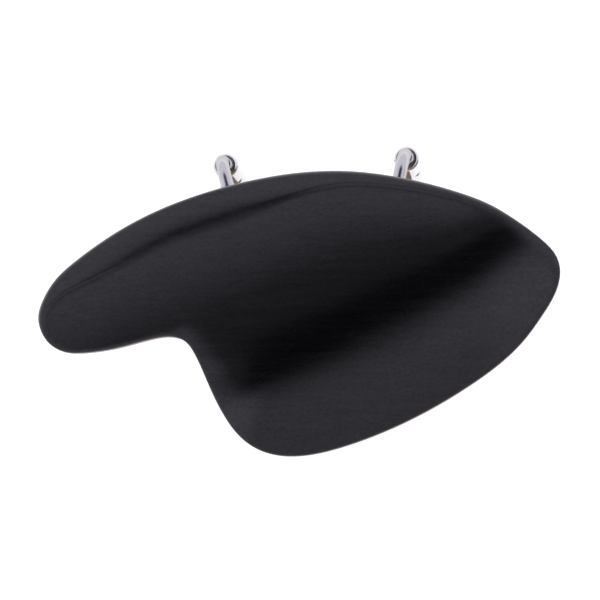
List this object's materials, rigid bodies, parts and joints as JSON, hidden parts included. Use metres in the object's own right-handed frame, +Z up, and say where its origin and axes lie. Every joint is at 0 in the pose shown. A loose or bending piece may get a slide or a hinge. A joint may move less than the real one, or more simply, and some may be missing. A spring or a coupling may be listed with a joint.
{
  "type": "violin chin rest",
  "caption": "Asymmetric carved ebony chin rest for a violin, reaching over the tailpiece, held by a chromed two-post screw clamp with cork-faced heel and feet.",
  "frame": {"origin": "midway between the two clamp posts' axes, on the plane of the violin's top, which is the underside of the heel corks", "axes": "+X from the left post to the right post, as seen by the player from above; +Y away from the violin, towards the player's neck; +Z up, away from the violin's top"},
  "size_m": [0.1198, 0.0747, 0.0711],
  "materials": {
    "ebony": "hand-polished satin black",
    "cork": "fine-grained sheet cork, matte",
    "plated_rod": "polished plating",
    "plated_barrel": "polished plating, turned",
    "screw_steel": "bright zinc"
  },
  "bodies": {
    "chinrest": {"chin_plate": "ebony", "heel_cork_left": "cork", "heel_cork_middle": "cork", "heel_cork_right": "cork", "upper_bracket_left": "plated_rod", "upper_bracket_right": "plated_rod", "bracket_screw_left_rear": "screw_steel", "bracket_screw_left_front": "screw_steel", "bracket_screw_right_rear": "screw_steel", "bracket_screw_right_front": "screw_steel"},
    "turnbuckle_left": {"barrel_left": "plated_barrel"},
    "turnbuckle_right": {"barrel_right": "plated_barrel"},
    "foot_left": {"lower_foot_left": "plated_rod", "foot_cork_left": "cork"},
    "foot_right": {"lower_foot_right": "plated_rod", "foot_cork_right": "cork"}
  },
  "joints": [
    {"name": "barrel_left_turn", "type": "hinge", "parent": "chinrest", "child": "turnbuckle_left", "pos_m": [-0.0218, 0, -0.014], "axis": [0, 0, 1], "range_deg": [-1500, 900]},
    {"name": "barrel_right_turn", "type": "hinge", "parent": "chinrest", "child": "turnbuckle_right", "pos_m": [0.0218, 0, -0.014], "axis": [0, 0, 1], "range_deg": [-1500, 900]},
    {"name": "foot_left_slide", "type": "slide", "parent": "chinrest", "child": "foot_left", "axis": [0, 0, 1], "range_m": [-0.005, 0.003]},
    {"name": "foot_right_slide", "type": "slide", "parent": "chinrest", "child": "foot_right", "axis": [0, 0, 1], "range_m": [-0.005, 0.003]}
  ],
  "couplings": [
    {"joint": "barrel_left_turn", "follows": "foot_left_slide", "rad_per_m": 5235.9},
    {"joint": "barrel_right_turn", "follows": "foot_right_slide", "rad_per_m": 5235.9}
  ]
}
